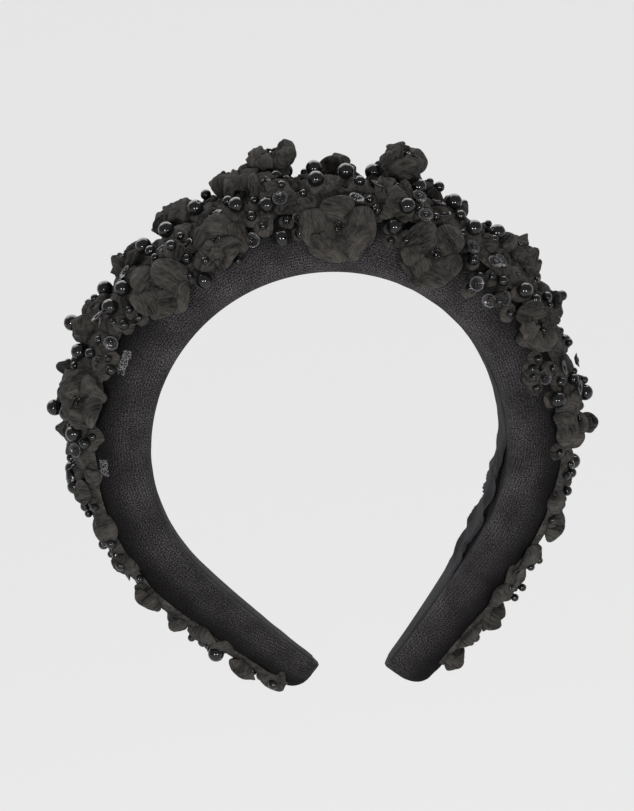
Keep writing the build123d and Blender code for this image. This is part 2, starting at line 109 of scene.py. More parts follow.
def pad_sizes(station):
    """Half width, height of the belly and height above it, shrinking by a power of the station."""
    share = np.abs(station) / full_loss_station
    loss = np.where(station > 0, right_height_loss, left_height_loss)
    height = crown_height - loss * share**1.9
    arm_length = half_length + right_extra * (station > 0)
    into = np.clip((np.abs(station) - arm_length + tip_round) / (tip_round * 1.06), 0.0, 0.94)
    tip = np.sqrt(1.0 - into**2)
    belly = belly_share * height
    return (crown_half_width - width_loss * share**1.8) * tip, belly, (height - belly) * tip


def pad_surface(station, turn, lift):
    """Superellipse section carried along the path: position and outward normal at a lift."""
    wide, belly, rise = pad_sizes(station)
    power = 2.0 / section_power
    side = np.sign(turn)
    across = np.abs(np.sin(turn)) ** power
    up = np.maximum(np.cos(turn), 0.0) ** power
    slope_y = side * across ** (section_power - 1) / wide
    slope_up = up ** (section_power - 1) / rise
    slope = np.hypot(slope_y, slope_up) + 1e-12
    slope_y, slope_up = slope_y / slope, slope_up / slope
    x, z, angle = path_point(station, belly + rise * up + slope_up * lift)
    y = side * wide * across + slope_y * lift
    normal = np.stack([np.sin(angle) * slope_up, slope_y, np.cos(angle) * slope_up], -1)
    return np.stack([x, y, z], -1), normal


def ripple(u, v, seed, octaves=5, coarse=1.0):
    """Sum of sine waves in random directions, each finer and weaker than the last."""
    rng = np.random.default_rng(seed)
    total = np.zeros(np.broadcast(u, v).shape)
    for octave in range(octaves):
        scale = coarse * 1.8**octave
        for _ in range(3):
            heading, phase = rng.uniform(0, 2 * np.pi, 2)
            wave = scale * (u * np.cos(heading) + v * np.sin(heading))
            total = total + np.sin(wave + phase + 0.8 * np.sin(0.6 * wave + 2 * phase)) / 1.8**octave
    return total / 4.0


def grid_faces(rows, columns, close_columns=False):
    """Quads between neighbouring rows and columns of a grid, wrapped round if closed."""
    step = columns if close_columns else columns - 1
    row = np.arange(rows - 1)[:, None] * columns
    a = row + np.arange(step)[None, :]
    b = row + (np.arange(step)[None, :] + 1) % columns
    return np.stack([a, b, b + columns, a + columns], -1).reshape(-1, 4)


def make_piece(name, points, faces, material, uv=None, smooth=True):
    """Mesh object from an array of points and an array of quads, with an optional UV per point."""
    mesh = bpy.data.meshes.new(name)
    points = np.asarray(points, dtype=np.float32).reshape(-1, 3)
    faces = np.asarray(faces, dtype=np.int32)
    size = faces.shape[1]
    mesh.vertices.add(len(points))
    mesh.vertices.foreach_set("co", points.ravel())
    mesh.loops.add(faces.size)
    mesh.loops.foreach_set("vertex_index", faces.ravel())
    mesh.polygons.add(len(faces))
    mesh.polygons.foreach_set("loop_start", np.arange(len(faces), dtype=np.int32) * size)
    mesh.polygons.foreach_set("use_smooth", np.full(len(faces), smooth))
    mesh.update(calc_edges=True)
    if uv is not None:
        layer = mesh.uv_layers.new(name="cloth")
        layer.data.foreach_set("uv", np.asarray(uv, dtype=np.float32).reshape(-1, 2)[faces.ravel()].ravel())
    mesh.validate()
    mesh.materials.append(material)
    piece = bpy.data.objects.new(name, mesh)
    bpy.context.scene.collection.objects.link(piece)
    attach(piece, "root")
    return piece


def new_material(name, base, roughness, **sockets):
    """Material with one Principled shader; constants go straight on its sockets."""
    material = bpy.data.materials.new(name)
    material.use_nodes = True
    shader = material.node_tree.nodes["Principled BSDF"]
    shader.inputs["Base Color"].default_value = (*base, 1.0)
    shader.inputs["Roughness"].default_value = roughness
    for socket, value in sockets.items():
        shader.inputs[socket.replace("_", " ")].default_value = value
    return material, shader


def link(material, source, target):
    material.node_tree.links.new(source, target)


def add_node(tree, kind, **inputs):
    """Node of one kind, its named inputs set."""
    node = tree.nodes.new(kind)
    for key, value in inputs.items():
        node.inputs[key.replace("_", " ")].default_value = value
    return node


def cloth_surface():
    """Group: fine crinkle and cloudy tone of cloth, from a coordinate in metres or UV; the crinkle hollows
    are darkened as painted shade.
    """
    group = bpy.data.node_groups.new("cloth_surface", "ShaderNodeTree")
    face = group.interface
    face.new_socket("Place", in_out="INPUT", socket_type="NodeSocketVector")
    for label, start in (("Crinkle Size", 900.0), ("Cloud Size", 90.0), ("Stretch", 1.0)):
        face.new_socket(label, in_out="INPUT", socket_type="NodeSocketFloat").default_value = start
    face.new_socket("Dark", in_out="INPUT", socket_type="NodeSocketColor")
    face.new_socket("Light", in_out="INPUT", socket_type="NodeSocketColor")
    face.new_socket("Colour", in_out="OUTPUT", socket_type="NodeSocketColor")
    face.new_socket("Height", in_out="OUTPUT", socket_type="NodeSocketFloat")
    enter = group.nodes.new("NodeGroupInput")
    leave = group.nodes.new("NodeGroupOutput")
    join = group.links.new
    squeeze = group.nodes.new("ShaderNodeCombineXYZ")
    join(enter.outputs["Stretch"], squeeze.inputs["X"])
    squeeze.inputs["Y"].default_value = 1.0
    squeeze.inputs["Z"].default_value = 1.0
    placed = group.nodes.new("ShaderNodeVectorMath")
    placed.operation = "MULTIPLY"
    join(enter.outputs["Place"], placed.inputs[0])
    join(squeeze.outputs[0], placed.inputs[1])
    crinkle = add_node(group, "ShaderNodeTexNoise", Detail=6.0, Roughness=0.62)
    cloud = add_node(group, "ShaderNodeTexNoise", Detail=3.0)
    for noise, socket in ((crinkle, "Crinkle Size"), (cloud, "Cloud Size")):
        join(placed.outputs[0], noise.inputs["Vector"])
        join(enter.outputs[socket], noise.inputs["Scale"])
    # Painted shade: the crinkle that sets the bump height also sets the colour, so the hollows come out
    # darker; the cloud adds tone that differs at random.
    blend = add_node(group, "ShaderNodeMath")
    blend.operation = "ADD"
    join(crinkle.outputs["Fac"], blend.inputs[0])
    join(cloud.outputs["Fac"], blend.inputs[1])
    spread = add_node(group, "ShaderNodeMapRange", From_Min=0.78, From_Max=1.24)
    join(blend.outputs[0], spread.inputs["Value"])
    hollow_shade_and_tone = group.nodes.new("ShaderNodeMix")
    hollow_shade_and_tone.data_type = "RGBA"
    join(spread.outputs[0], hollow_shade_and_tone.inputs["Factor"])
    join(enter.outputs["Dark"], hollow_shade_and_tone.inputs["A"])
    join(enter.outputs["Light"], hollow_shade_and_tone.inputs["B"])
    join(hollow_shade_and_tone.outputs["Result"], leave.inputs["Colour"])
    join(crinkle.outputs["Fac"], leave.inputs["Height"])
    return group


cloth_group = cloth_surface()


def dress_cloth(material, shader, dark, light, crinkle, cloud, depth, coordinate="Object", stretch=1.0):
    """Joins the cloth group to a material's colour and bump, and returns the group and bump."""
    tree = material.node_tree
    place = tree.nodes.new("ShaderNodeTexCoord")
    cloth = tree.nodes.new("ShaderNodeGroup")
    cloth.node_tree = cloth_group
    cloth.inputs["Crinkle Size"].default_value = crinkle
    cloth.inputs["Cloud Size"].default_value = cloud
    cloth.inputs["Stretch"].default_value = stretch
    cloth.inputs["Dark"].default_value = (*dark, 1.0)
    cloth.inputs["Light"].default_value = (*light, 1.0)
    link(material, place.outputs[coordinate], cloth.inputs["Place"])
    bump = add_node(tree, "ShaderNodeBump", Strength=0.9, Distance=depth)
    link(material, cloth.outputs["Height"], bump.inputs["Height"])
    link(material, cloth.outputs["Colour"], shader.inputs["Base Color"])
    link(material, bump.outputs["Normal"], shader.inputs["Normal"])
    return cloth, bump


velvet, velvet_shader = new_material(
    "ribbed_velvet",
    (0.02, 0.018, 0.02),
    0.8,
    Sheen_Weight=0.012,
    Sheen_Roughness=0.3,
    Specular_IOR_Level=0.05,
)
velvet_shader.inputs["Sheen Tint"].default_value = (0.75, 0.68, 0.78, 1.0)
tree = velvet.node_tree
velvet_place = tree.nodes.new("ShaderNodeTexCoord")
# Painted sheen and shade: a per-point share lights the pile grain towards the inner edge, where grazing
# sheen falls, and darkens it towards the trim, where the flowers shade it.
painted_sheen_and_shade = tree.nodes.new("ShaderNodeAttribute")
painted_sheen_and_shade.attribute_name = "painted_sheen_and_shade"
pile_grain = add_node(tree, "ShaderNodeTexNoise", Scale=2.9, Detail=3.0, Roughness=0.85)
pile_grain_long = tree.nodes.new("ShaderNodeMapping")
pile_grain_long.inputs["Scale"].default_value = (0.8, 1.0, 1.0)
pile_cloud = add_node(tree, "ShaderNodeTexNoise", Scale=0.09, Detail=3.0)
speckle = add_node(tree, "ShaderNodeMapRange", From_Min=0.47, From_Max=0.64, To_Min=0.0, To_Max=1.45)
lit = add_node(tree, "ShaderNodeMath")
lit.operation = "MULTIPLY"
clouded = add_node(tree, "ShaderNodeMath")
clouded.operation = "MULTIPLY"
cloud_range = add_node(tree, "ShaderNodeMapRange", From_Min=0.3, From_Max=0.7, To_Min=0.55, To_Max=1.15)
pile_colour = tree.nodes.new("ShaderNodeMix")
pile_colour.data_type = "RGBA"
pile_colour.inputs["A"].default_value = (0.0035, 0.0030, 0.0034, 1.0)
pile_colour.inputs["B"].default_value = (0.200, 0.188, 0.195, 1.0)
rib_wave = add_node(tree, "ShaderNodeTexWave", Scale=0.27, Distortion=1.4, Detail=2.0, Detail_Scale=0.8)
rib_wave.bands_direction = "Y"
rib_bump = add_node(tree, "ShaderNodeBump", Strength=0.12, Distance=0.0002)
pile_bump = add_node(tree, "ShaderNodeBump", Strength=0.8, Distance=0.0003)
link(velvet, velvet_place.outputs["UV"], pile_grain_long.inputs["Vector"])
link(velvet, pile_grain_long.outputs[0], pile_grain.inputs["Vector"])
link(velvet, velvet_place.outputs["UV"], pile_cloud.inputs["Vector"])
link(velvet, velvet_place.outputs["UV"], rib_wave.inputs["Vector"])
link(velvet, pile_grain.outputs["Fac"], speckle.inputs["Value"])
rib_light = add_node(tree, "ShaderNodeMapRange", To_Min=0.72, To_Max=1.15)
ribbed = add_node(tree, "ShaderNodeMath")
ribbed.operation = "MULTIPLY"
link(velvet, rib_wave.outputs["Fac"], rib_light.inputs["Value"])
link(velvet, rib_light.outputs[0], ribbed.inputs[0])
link(velvet, speckle.outputs[0], ribbed.inputs[1])
link(velvet, ribbed.outputs[0], lit.inputs[0])
link(velvet, painted_sheen_and_shade.outputs["Fac"], lit.inputs[1])
link(velvet, pile_cloud.outputs["Fac"], cloud_range.inputs["Value"])
link(velvet, cloud_range.outputs[0], clouded.inputs[0])
link(velvet, lit.outputs[0], clouded.inputs[1])
link(velvet, clouded.outputs[0], pile_colour.inputs["Factor"])
link(velvet, pile_colour.outputs["Result"], velvet_shader.inputs["Base Color"])
link(velvet, rib_wave.outputs["Fac"], rib_bump.inputs["Height"])
link(velvet, pile_grain.outputs["Fac"], pile_bump.inputs["Height"])
link(velvet, rib_bump.outputs["Normal"], pile_bump.inputs["Normal"])
link(velvet, pile_bump.outputs["Normal"], velvet_shader.inputs["Normal"])

# The section runs from the front foot over the top to the back foot, in one grid.
cover_stations = np.linspace(-half_length, half_length + right_extra, 520)[:, None]
top_turns = np.radians(np.linspace(-90, 90, 56))
foot_steps = np.linspace(0, 1, 15)[1:] * np.pi / 2


def cover_grid():
    """Superellipse over the top; a smaller quarter ellipse runs from each belly to its foot."""
    station, turn = np.broadcast_arrays(cover_stations, top_turns[None, :])
    pucker = 0.00045 * ripple(station * 90, turn * 3.0, 3) + 0.00022 * ripple(station * 500, turn * 2.0, 4)
    top, _ = pad_surface(station, turn, pucker)
    wide, belly, _ = pad_sizes(cover_stations)
    foot = foot_share * wide
    inset = 0.0009
    feet = []
    for side in (-1.0, 1.0):
        bend = foot_steps[None, :]
        crease = 0.0005 * np.sin(bend * 2) * ripple(cover_stations * 260, bend * 2, 9 + int(side))
        y = side * (foot + (wide - foot) * np.cos(bend) ** 0.9 + crease)
        depth = inset + (belly - inset) * (1 - np.sin(bend) ** 0.85)
        x, z, _ = path_point(cover_stations, depth)
        feet.append(np.stack([x, y, z], -1))
    return np.concatenate([feet[0][:, ::-1], top, feet[1]], 1)


def closed_ends(grid, shares=(0.0, 0.4, 0.8)):
    """Adds rows at both ends that shrink the last ring to its own middle."""
    first, last = grid[0], grid[-1]
    head = [first.mean(0) + (first - first.mean(0)) * share for share in shares]
    tail = [last.mean(0) + (last - last.mean(0)) * share for share in reversed(shares)]
    return np.concatenate([np.stack(head), grid, np.stack(tail)])


cover_points = closed_ends(cover_grid())
cover_rows, cover_columns = cover_points.shape[:2]
steps_round = np.linalg.norm(np.diff(cover_points, axis=1), axis=-1)
around = np.concatenate([np.zeros((cover_rows, 1)), np.cumsum(steps_round, axis=1)], axis=1)
around = around - around[:, cover_columns // 2][:, None]
row_station = np.pad(cover_stations[:, 0], 3, mode="edge")[:, None]
cover_uv = np.stack(np.broadcast_arrays(row_station * 1000, around * 1000), -1)
cover_faces = grid_faces(cover_rows, cover_columns, close_columns=True)[:, ::-1]
velvet_cover = make_piece("velvet_cover_soft", cover_points, cover_faces, velvet, cover_uv)
# Painted sheen and shade per point: near black over the top under the trim, rising to full on the feet at
# the head side, with a slow ripple along the band.
top_painted_light = 0.04 + 0.46 * (np.abs(top_turns) / (np.pi / 2)) ** 5
foot_painted_light = np.linspace(0.50, 1.0, 14)
section_painted_light = np.concatenate([foot_painted_light[::-1], top_painted_light, foot_painted_light])[None, :]
painted_light_share = np.clip(section_painted_light * (0.85 + 0.25 * ripple(row_station * 40, 0.0, 12, 3)), 0, 1)
painted_light_attribute = velvet_cover.data.attributes.new("painted_sheen_and_shade", "FLOAT", "POINT")
painted_light_attribute.data.foreach_set("value", painted_light_share.ravel().astype(np.float32))
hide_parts("velvet_cover")

# ---------------------------------------------------------------------------
# Lining: a flat ribbon glued round the head side over the cover's raw edges.
# ---------------------------------------------------------------------------
lining_share = 0.62
lining_reach = half_length - 0.003
lining_cloth, lining_shader = new_material(
    "lining_ribbon",
    (0.02, 0.018, 0.02),
    0.85,
    Sheen_Weight=0.04,
    Sheen_Roughness=0.4,
    Specular_IOR_Level=0.1,
)
lining_dark = (0.0068, 0.0070, 0.0080)
lining_light = (0.029, 0.0292, 0.0325)
dress_cloth(lining_cloth, lining_shader, lining_dark, lining_light, 1400.0, 60.0, 0.0005)
lining_station = np.linspace(-lining_reach, lining_reach + right_extra, 420)[:, None]
lining_across = np.linspace(-1, 1, 22)[None, :]
lining_width = lining_share * pad_sizes(lining_station)[0]
slack = np.exp(-(((lining_station - 0.137) / 0.023) ** 4)) + 0.07
slant = lining_station * 260 + 1.6 * lining_across
fold = 1 - np.abs(np.tanh(2.5 * ripple(slant, lining_across * 1.2, 21, 3)))
lump = slack * (0.0010 + 0.0020 * fold)
edge_curl = 0.0007 * np.abs(lining_across) ** 6
lining_x, lining_z, _ = path_point(lining_station, 0.0004 + edge_curl - np.abs(lump))
lining_points = np.stack(np.broadcast_arrays(lining_x, lining_width * lining_across, lining_z), -1)
lining = make_piece("lining_ribbon_soft", lining_points, grid_faces(*lining_points.shape[:2]), lining_cloth)
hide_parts("inner_lining")
# A dark seam runs where the ribbon's edge meets the velvet, pulled in by small stitches.
seam_rows, seam_columns = 900, 6
seam_station = np.linspace(-0.186, 0.194, seam_rows)[:, None]
seam_round = np.linspace(0, 2 * np.pi, seam_columns, endpoint=False)[None, :]
seam_sides = []
for side in (-1.0, 1.0):
    radius = 0.00015 + 0.00005 * np.sin(seam_station * 2600)
    seam_y = side * (lining_share * pad_sizes(seam_station)[0] + 0.0004) + radius * np.cos(seam_round)
    seam_depth = 0.0012 + 0.0001 * np.sin(seam_station * 700) + radius * np.sin(seam_round)
    seam_x, seam_z, _ = path_point(seam_station, seam_depth)
    seam_sides.append(np.stack(np.broadcast_arrays(seam_x, seam_y, seam_z), -1))
seam_black, _ = new_material("seam_thread", (0.004, 0.0038, 0.004), 0.9, Specular_IOR_Level=0.1)
seam_faces = grid_faces(seam_rows, seam_columns, close_columns=True)
seam_faces = np.concatenate([seam_faces, seam_faces + seam_rows * seam_columns])
seam = make_piece("seam_stitches", np.concatenate(seam_sides), seam_faces, seam_black)

# ---------------------------------------------------------------------------
# Backing strip: thin crepe laid over the top of the roll in soft folds; every
# flower and bead is sewn through it.
# ---------------------------------------------------------------------------
crepe_dark = (0.0052, 0.0047, 0.0041)
crepe_light = (0.078, 0.071, 0.063)
crepe, crepe_shader = new_material(
    "dark_crepe",
    (0.03, 0.026, 0.023),
    0.92,
    Sheen_Weight=0.05,
    Sheen_Roughness=0.5,
    Specular_IOR_Level=0.12,
)
dress_cloth(crepe, crepe_shader, crepe_dark, crepe_light, 1.35, 0.2, 0.0014, "UV", 0.30)

backing_edge = np.radians(50)
_, backing_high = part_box("trim_backing")
flat_backing = 0.0005
crown_ruffle = backing_high[2] - cover_high[2] - flat_backing
ruffle_reach = 0.120


def ruffle_height(station, turn):
    """Flat at the edges and tips; over the crown it rises as a cosine across and a parabola along."""
    along = np.clip(1 - (station / ruffle_reach) ** 2, 0, 1)
    return flat_backing + crown_ruffle * along * np.clip(np.cos(1.5 * turn), 0, 1)


backing_rows, backing_columns = 760, 90
backing_station = np.linspace(-0.196, 0.1955, backing_rows)[:, None]
backing_turn = np.linspace(-1, 1, backing_columns)[None, :]


def backing_points():
    """Strip lifted off the roll by soft folds, its long edges wavering and turned down."""
    waver = 1 + 0.05 * ripple(backing_station * 300, np.sign(backing_turn), 31, 3)
    turn = backing_turn * backing_edge * waver
    fold = ripple(backing_station * 420, turn * 6.0, 32, 4)
    ridge = 1 - np.abs(np.tanh(2.2 * fold))
    lift = ruffle_height(backing_station, turn) * (0.45 + 0.55 * ridge)
    lift = lift + 0.0008 * ridge * (1 - backing_turn**6)
    return pad_surface(backing_station, turn, lift)[0]


backing_uv = np.stack(np.broadcast_arrays(backing_turn * 20, backing_station * 1000), -1)
backing_faces = grid_faces(backing_rows, backing_columns)[:, ::-1]
backing = make_piece("trim_backing_soft", backing_points(), backing_faces, crepe, backing_uv)
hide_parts("trim_backing")

# ---------------------------------------------------------------------------
# Crepe flowers: a strip gathered into five puffed petals and drawn in at the
# middle, where a few seed beads hold it down.
# ---------------------------------------------------------------------------
station_track = np.linspace(-0.206, 0.212, 2091)
track_x, track_z, track_angle = path_point(station_track, 0.0)


def corners_of(name):
    """All corner points of a CAD node as an array."""
    mesh = cad_nodes[name].data
    points = np.empty(len(mesh.vertices) * 3, dtype=np.float32)
    mesh.vertices.foreach_get("co", points)
    return points.reshape(-1, 3).astype(float)


def outward_at(point):
    """Nearest place of the path as X, 0, Z and station; the way out of the head; the way along."""
    nearest = np.argmin((track_x - point[0]) ** 2 + (track_z - point[2]) ** 2)
    angle = track_angle[nearest]
    foot = np.array([track_x[nearest], 0.0, track_z[nearest], station_track[nearest]])
    return foot, np.array([np.sin(angle), 0, np.cos(angle)]), np.array([np.cos(angle), 0, -np.sin(angle)])


def tidy_axes(normal, along):
    """Right-handed axes with Z on the normal and X near the way along the band."""
    normal = normal / np.linalg.norm(normal)
    x = along - normal * np.dot(along, normal)
    x = x / np.linalg.norm(x)
    return np.stack([x, np.cross(normal, x), normal], 1)


def resting_frame(points):
    """Centre and axes of a flat piece: its thinnest way is its normal, turned away from the roll."""
    centre = (points.max(0) + points.min(0)) / 2.0
    _, axes = np.linalg.eigh(np.cov((np.unique(np.round(points, 6), axis=0) - centre).T))
    normal, long_way = axes[:, 0], axes[:, 2]
    foot, out, along = outward_at(centre)
    core = foot[:3] + out * 0.011
    if np.dot(normal, centre - core) < 0:
        normal = -normal
    across = np.cross(normal, long_way)
    local = (points - centre) @ np.stack([long_way, across, normal], 1)
    centre = centre + np.stack([long_way, across, normal], 1) @ ((local.max(0) + local.min(0)) / 2.0)
    return centre, np.stack([long_way, across, normal], 1)


def petal_points(length, width, thick, seed, rings=24, spokes=38):
    """One puffed petal, a pillow gathered to a narrow root at X = 0, and its UV in mm.

    Each ring is a superellipse scaled by the sine of its level; creases run from the root
    and die out towards the rim, and a soft crumple bends the whole pillow.
    """
    rng = np.random.default_rng(seed)
    around = np.linspace(0, 2 * np.pi, spokes, endpoint=False)[None, :]
    t = np.linspace(0, 1, rings)[:, None] * np.pi
    reach = np.sin(t) ** 0.62
    c, q = np.cos(around), np.sin(around)
    rim = 1 + 0.025 * np.sin(around * 3 + rng.uniform(0, 6))
    rim = rim + 0.012 * np.sin(around * 7 + rng.uniform(0, 6))
    x = length / 2 * (1 + rim * reach * np.sign(c) * np.abs(c) ** 0.92)
    far = np.clip(x / length, 0, 1)
    y = width / 2 * rim * reach * np.sign(q) * np.abs(q) ** 0.92 * (0.62 + 0.38 * far**0.5)
    crease = np.sin(y / width * rng.uniform(14, 22) + rng.uniform(0, 6)) * (1 - far) ** 0.5
    fold = 1 - np.abs(np.tanh(3.0 * ripple(x / length * 2.6, y / width * 2.6, seed + 5, 2)))
    crumple = ripple(x / length * 4, y / width * 4, seed, 4)
    full = 0.45 + 0.75 * np.sin(np.pi * np.clip(far, 0.02, 0.98) ** 0.8) ** 0.7
    z = thick / 2 * np.cos(t) * (full + 0.20 * crease + 0.22 * crumple - 0.55 * fold)
    sway = ripple(x / length * 2.0, y / width * 2.0, seed + 9, 2)
    bend = thick * (0.30 * sway - 0.22 * (2 * y / width) ** 2)
    points = np.stack(np.broadcast_arrays(x, y, z + bend), -1)
    return points, (points[..., 1::-1] + rng.uniform(0, 0.5, 2)) * 1000


def turned(points, spin, tip, twist):
    """Petal rolled about its own length, lifted at the rim, then swung round the flower."""
    x, y, z = points[..., 0], points[..., 1], points[..., 2]
    y, z = y * np.cos(twist) - z * np.sin(twist), y * np.sin(twist) + z * np.cos(twist)
    x, z = x * np.cos(tip) - z * np.sin(tip), x * np.sin(tip) + z * np.cos(tip)
    return np.stack([x * np.cos(spin) - y * np.sin(spin), x * np.sin(spin) + y * np.cos(spin), z], -1)


def flower_points(radius, thick, spin, seed):
    """Five broad petals in a whorl, each lying over its neighbour, and two small ones folded up inside."""
    rng = np.random.default_rng(seed)
    shapes, cloths = [], []
    for k in range(7):
        inner = k > 4
        length = radius * (rng.uniform(0.55, 0.66) if inner else rng.uniform(0.84, 1.10))
        width = length * rng.uniform(0.98, 1.38)
        petal, cloth = petal_points(length, width, thick * rng.uniform(1.1, 1.45), seed * 7 + k)
        petal[..., 0] += radius * 0.30 * inner
        swing = rng.uniform(0, 6.3) if inner else spin + 2 * np.pi * k / 5 + rng.normal(0, 0.15)
        petal = turned(petal, swing, rng.uniform(0.02, 0.36), 0.42 + rng.normal(0, 0.16))
        petal[..., 2] += thick * (0.10 if inner else -0.18)
        shapes.append(petal)
        cloths.append(cloth)
    return shapes, cloths


def sew_petals(name, petals, cloths):
    """One crepe piece made of any number of petals of the same grid."""
    rows, columns = petals[0].shape[:2]
    petal_faces = grid_faces(rows, columns, close_columns=True)[:, ::-1]
    faces = np.concatenate([petal_faces + k * rows * columns for k in range(len(petals))])
    piece = make_piece(name, np.concatenate(petals), faces, crepe, np.concatenate(cloths))
    return piece


flower_names = sorted(name for name in cad_nodes if name.startswith("crepe_flower"))
flower_spots = []
for number, name in enumerate(flower_names):
    corners = corners_of(name)
    centre, axes = resting_frame(corners)
    local = (corners - centre) @ axes
    swing = np.arctan2(local[:, 1], local[:, 0])
    spread = np.hypot(local[:, 0], local[:, 1])
    spin = np.angle(np.sum(spread**8 * np.exp(5j * swing))) / 5.0
    thick = local[:, 2].max() - local[:, 2].min()
    petals, cloths = flower_points(spread.max() * 1.10, thick * 1.1, spin, 100 + number)
    flower = sew_petals(name + "_soft", [centre + petal @ axes.T for petal in petals], cloths)
    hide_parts(name)
    flower_spots.append((centre, axes, thick))

# ---------------------------------------------------------------------------
# Crepe puffs: single petals of the same cloth, gathered at one end, that fill
# between the flowers and lie along both arms.
# ---------------------------------------------------------------------------


puff_names = sorted(name for name in cad_nodes if name.startswith("crepe_puff"))
for number, name in enumerate(puff_names):
    corners = corners_of(name)
    centre, axes = resting_frame(corners)
    span = np.ptp((corners - centre) @ axes, axis=0)
    pillows, cloths = [], []
    for k, (share, shift, swing) in enumerate(((0.72, -0.36, 0.0), (0.70, 0.36, np.pi))):
        pillow, cloth = petal_points(span[0] * share, span[1] * 1.15, span[2] * 1.1, 300 + 2 * number + k)
        pillow = turned(pillow, swing, 0.0, 0.1)
        pillow[..., 0] += span[0] * shift * 0.9
        pillows.append(centre + pillow @ axes.T)
        cloths.append(cloth)
    puff = sew_petals(name + "_soft", pillows, cloths)
    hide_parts(name)


def loose_parts(name):
    """Corner points of each separate solid of a node: labels spread along its edges until settled."""
    mesh = cad_nodes[name].data
    points = corners_of(name)
    _, merged = np.unique(np.round(points, 6), axis=0, return_inverse=True)
    merged = merged.ravel()
    edges = np.empty(len(mesh.edges) * 2, dtype=np.int32)
    mesh.edges.foreach_get("vertices", edges)
    a, b = merged[edges.reshape(-1, 2)].T
    labels = np.arange(merged.max() + 1)
    while True:
        low = np.minimum(labels[a], labels[b])
        updated = labels.copy()
        np.minimum.at(updated, a, low)
        np.minimum.at(updated, b, low)
        updated = updated[updated]
        if np.array_equal(updated, labels):
            break
        labels = updated
    owner = labels[merged]
    return [points[owner == label] for label in np.unique(owner)]


def roll_radius(station, across, up):
    """Distance from the core to the padding in a direction, from the superellipse formula."""
    wide, _, rise = pad_sizes(np.array(station))
    size = np.hypot(across, up)
    share = (np.abs(across / size) / wide) ** section_power + (np.abs(up / size) / rise) ** section_power
    return share ** (-1.0 / section_power)


def tuft_at(point, height, size, seed):
    """Petal of crepe lying across the way out of the roll, its middle a height above a point."""
    foot, out, along = outward_at(point)
    belly = pad_sizes(np.array(foot[3]))[1]
    normal = point - (foot[:3] + out * belly)
    axes = tidy_axes(normal, along)
    rng = np.random.default_rng(seed)
    petal, cloth = petal_points(size, size * rng.uniform(0.85, 1.15), 0.0046, seed, 12, 18)
    petal[..., 0] -= size / 2
    petal = turned(petal, rng.uniform(0, 6.3), rng.normal(0, 0.30), rng.normal(0, 0.30))
    return point + axes[:, 2] * height + petal @ axes.T, cloth


# Tufts of the same cloth fill the ruffle and stand under every bead that sits high.
tuft_spots = []
for k in range(110):
    station, turn = chance.uniform(-0.106, 0.118), np.radians(chance.uniform(-46, 60))
    point, _ = pad_surface(np.array(station), np.array(turn), ruffle_height(station, turn) * 0.8)
    tuft_spots.append((point, 0.0, chance.uniform(0.0075, 0.0115)))
for name in sorted(cad_nodes):
    if name.split("_")[0] not in ("large", "medium", "small"):
        continue
    for corners in loose_parts(name):
        centre = (corners.max(0) + corners.min(0)) / 2.0
        radius = np.ptp(corners, axis=0).max() / 2.0
        foot, out, along = outward_at(centre)
        belly = pad_sizes(np.array(foot[3]))[1]
        across, up = centre[1], np.dot(centre - foot[:3], out) - belly
        gap = np.hypot(across, up) - roll_radius(foot[3], across, max(up, 0.0) + 1e-6) - radius
        if gap > 0.0030:
            tuft_spots.append((centre, -radius - 0.0014, chance.uniform(0.0065, 0.0085)))
        if centre[1] < -0.0155 and abs(foot[3]) < 0.118:
            tuft_spots.append((centre, -radius - 0.0012, chance.uniform(0.0060, 0.0080)))
        if gap > 0.0070:
            tuft_spots.append((centre, -radius - 0.0050, chance.uniform(0.0085, 0.0105)))
for centre, axes, thick in flower_spots:
    foot, out, along = outward_at(centre)
    if np.dot(centre - foot[:3], out) > 0.026:
        tuft_spots.append((centre, -thick / 2 - 0.0012, 0.0125))
# Along both arms padded scraps lie end to end on the front of the strip.
for station in (-0.190, -0.170, -0.160, -0.127, -0.115, 0.128, 0.145, 0.153, 0.162, 0.181):
    point, _ = pad_surface(np.array(station), np.radians(-34 + chance.uniform(-4, 4)), np.array(0.0012))
    tuft_spots.append((point, 0.0, 0.0125))
placed = [tuft_at(*spot, 700 + k) for k, spot in enumerate(tuft_spots)]
tuft_points, tuft_cloths = zip(*placed)
sew_petals("crepe_tufts_soft", tuft_points, tuft_cloths)

# ---------------------------------------------------------------------------
# Beads: glossy black round beads of three sizes, threaded on one by one, and
# tiny rings of seed beads that hold each flower and sequin.
# ---------------------------------------------------------------------------
bead_black, bead_shader = new_material(
    "black_bead", (0.007, 0.0067, 0.0072), 0.07, Coat_Weight=0.12, Coat_Roughness=0.03, IOR=1.44
)
bead_place = bead_black.node_tree.nodes.new("ShaderNodeTexCoord")
bead_haze = add_node(bead_black.node_tree, "ShaderNodeTexNoise", Scale=260.0, Detail=3.0)
bead_wear = add_node(bead_black.node_tree, "ShaderNodeMapRange", To_Min=0.05, To_Max=0.16)
link(bead_black, bead_place.outputs["Object"], bead_haze.inputs["Vector"])
link(bead_black, bead_haze.outputs["Fac"], bead_wear.inputs["Value"])
link(bead_black, bead_wear.outputs[0], bead_shader.inputs["Roughness"])


def bead_points(radius, hole, rings, spokes):
    """Sphere profile from one hole edge to the other, then back through the bore, spun round X."""
    start = np.arcsin(hole / radius)
    polar = np.linspace(start, np.pi - start, rings)
    along = np.concatenate([radius * np.cos(polar), [0.0, radius * np.cos(start)]])
    out = np.concatenate([radius * np.sin(polar), [hole * 0.7, hole]])
    around = np.linspace(0, 2 * np.pi, spokes, endpoint=False)
    y, z = out[:, None] * np.cos(around), out[:, None] * np.sin(around)
    return np.stack(np.broadcast_arrays(along[:, None], y, z), -1)


